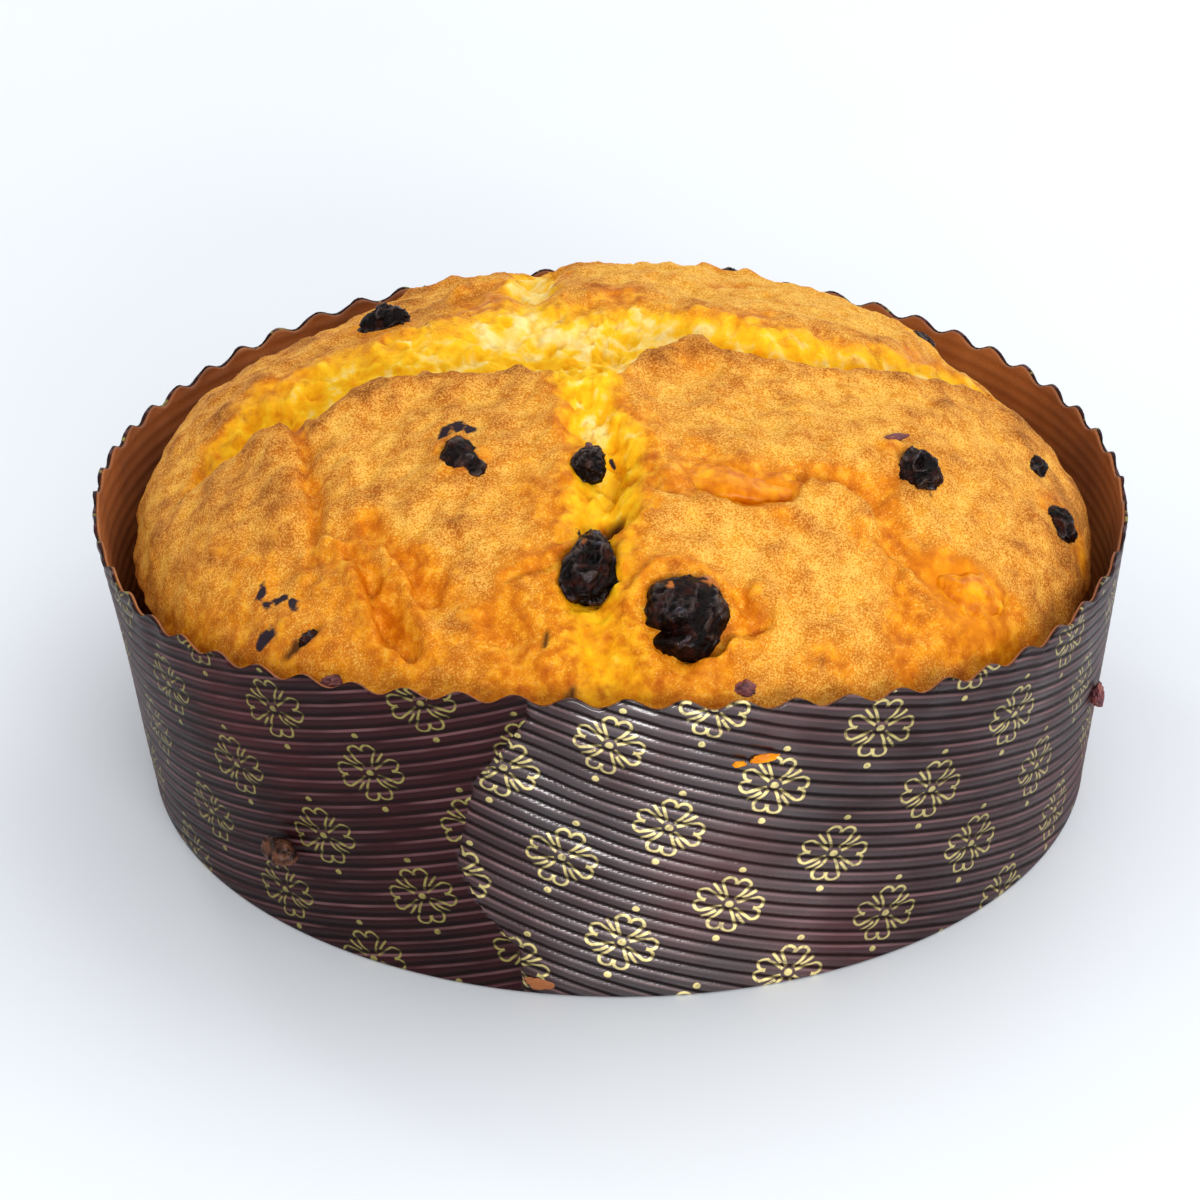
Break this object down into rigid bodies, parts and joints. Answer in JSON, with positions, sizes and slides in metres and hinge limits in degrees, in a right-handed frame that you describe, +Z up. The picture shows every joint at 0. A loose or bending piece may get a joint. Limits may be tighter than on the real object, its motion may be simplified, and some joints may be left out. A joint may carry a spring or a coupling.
{
  "type": "panettone",
  "caption": "Low round sweet bread with a split, domed crust, raisins and candied peel, standing in a flared paper case with a scalloped rim.",
  "frame": {"origin": "on the flat underside of the paper case, below the centre of its rim", "axes": "+Z up through the dome, -Y towards the overlap seam of the case, +X to the right of it"},
  "size_m": [0.198, 0.195, 0.0895],
  "materials": {
    "crust": "baked golden crust with torn yellow crumb in its splits",
    "case_paper": "fluted dark brown baking paper with a gold print outside, kraft brown inside",
    "raisin": "wrinkled, glossy, near black",
    "fruit_skin": "dull reddish purple dried skin",
    "candied_peel": "translucent amber, moist"
  },
  "bodies": {
    "root": {"bread": "crust", "paper_case": "case_paper", "raisin_01": "raisin", "raisin_02": "raisin", "raisin_03": "raisin", "raisin_04": "raisin", "raisin_05": "raisin", "raisin_06": "raisin", "raisin_07": "raisin", "raisin_08": "raisin", "raisin_09": "raisin", "raisin_10": "fruit_skin", "raisin_11": "fruit_skin", "raisin_12": "raisin", "raisin_13": "raisin", "raisin_14": "raisin", "peel_01": "candied_peel", "peel_02": "candied_peel", "case_raisin": "raisin", "case_flake": "fruit_skin"}
  },
  "joints": []
}
